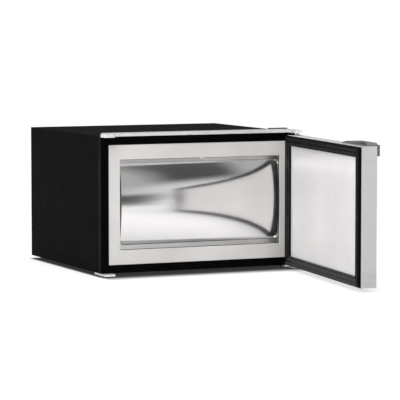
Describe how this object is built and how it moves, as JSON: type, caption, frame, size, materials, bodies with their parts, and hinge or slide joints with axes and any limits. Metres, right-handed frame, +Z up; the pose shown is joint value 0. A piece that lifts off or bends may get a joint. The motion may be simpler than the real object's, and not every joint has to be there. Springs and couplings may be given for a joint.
{
  "type": "mini fridge",
  "caption": "Small box fridge with a side-hinged insulated door standing open, a bowed steel inner flap over its metal-lined cold space, a sliding door latch and a compressor unit behind.",
  "frame": {"origin": "centre of the cabinet's underside, on the base pan; the rubber feet reach 6 mm below it", "axes": "+Z up, the cabinet's front faces -Y, +X is to the right of someone facing the front, where the door's hinge is"},
  "size_m": [0.4451, 0.8673, 0.2927],
  "materials": {
    "black_paint": "satin black paint",
    "zinc_sheet": "zinc-plated sheet",
    "black_plastic": "fine matte black",
    "pale_plastic": "smooth warm light grey",
    "stainless": "softly polished stainless steel",
    "foam": "foamed-in-place polyurethane",
    "aluminium": "mill finish",
    "bar_metal": "satin silver plate",
    "bright_steel": "zinc-plated steel",
    "rubber": "matte black",
    "retainer_plastic": "matte black",
    "copper": "bare copper tube",
    "brass": "plated contacts",
    "door_paint": "smooth light grey paint",
    "door_plastic": "smooth light grey",
    "magnet": "magnetic rubber strip",
    "bush_plastic": "grey bearing plastic",
    "latch_plastic": "satin dark grey"
  },
  "bodies": {
    "cabinet": {"cabinet_wrap": "black_paint", "base_pan": "black_paint", "rear_panel": "black_paint", "bulkhead": "zinc_sheet", "front_frame": "black_plastic", "breaker_flange": "pale_plastic", "flange_seal": "rubber", "liner": "stainless", "liner_clip": "pale_plastic", "cabinet_foam": "foam", "flap_bushes": "bush_plastic", "evaporator_plate": "aluminium", "evaporator_tube": "aluminium", "top_bar": "bar_metal", "bar_screws": "bright_steel", "hinge_cap": "black_plastic", "bottom_hinge": "bar_metal", "bottom_bracket": "bar_metal", "bracket_screws": "bright_steel", "hinge_pin_top": "bright_steel", "hinge_pin_bottom": "bright_steel", "feet": "rubber", "compressor": "black_paint", "compressor_base": "black_paint", "compressor_mounts": "rubber", "compressor_bolts": "bright_steel", "terminal_cover": "black_plastic", "controller_box": "black_plastic", "condenser_fins": "aluminium", "condenser_tube": "copper", "condenser_brackets": "zinc_sheet", "fan_frame": "black_plastic", "fan_shaft": "bright_steel", "filter_drier": "copper", "refrigerant_pipes": "copper", "rear_screws": "bright_steel", "thermostat_housing": "black_plastic", "power_socket": "black_plastic", "power_contacts": "brass"},
    "door": {"door_skin": "door_paint", "door_cap_top": "door_plastic", "door_cap_bottom": "door_plastic", "door_foam": "foam", "door_inner_panel": "pale_plastic", "gasket_retainer": "retainer_plastic", "door_gasket": "rubber", "gasket_magnets": "magnet", "bush_top": "bush_plastic", "bush_bottom": "bush_plastic", "latch_base": "door_plastic", "latch_screws": "bright_steel"},
    "latch": {"latch_slide": "latch_plastic"},
    "flap": {"flap_skin": "stainless", "flap_core": "foam", "flap_back": "pale_plastic", "flap_pins": "bright_steel"},
    "fan": {"fan_rotor": "black_plastic"},
    "thermostat": {"thermostat_knob": "black_plastic", "thermostat_spindle": "bright_steel"}
  },
  "joints": [
    {"name": "door_hinge", "type": "hinge", "parent": "cabinet", "child": "door", "pos_m": [0.212, -0.231, 0.14], "axis": [0, 0, 1], "range_deg": [-82.5, 32.5]},
    {"name": "latch_travel", "type": "slide", "parent": "door", "child": "latch", "axis": [-0.1305, -0.9914, 0], "range_m": [0, 0.012]},
    {"name": "flap_swing", "type": "hinge", "parent": "cabinet", "child": "flap", "pos_m": [0, -0.18723, 0.2125], "axis": [1, 0, 0], "range_deg": [0, 85]},
    {"name": "fan_spin", "type": "hinge", "parent": "cabinet", "child": "fan", "pos_m": [0.105, 0.145, 0.09], "axis": [0, 1, 0], "continuous": true},
    {"name": "thermostat_turn", "type": "hinge", "parent": "cabinet", "child": "thermostat", "pos_m": [-0.03, 0.19, 0.225], "axis": [0, 1, 0], "range_deg": [0, 270]}
  ]
}
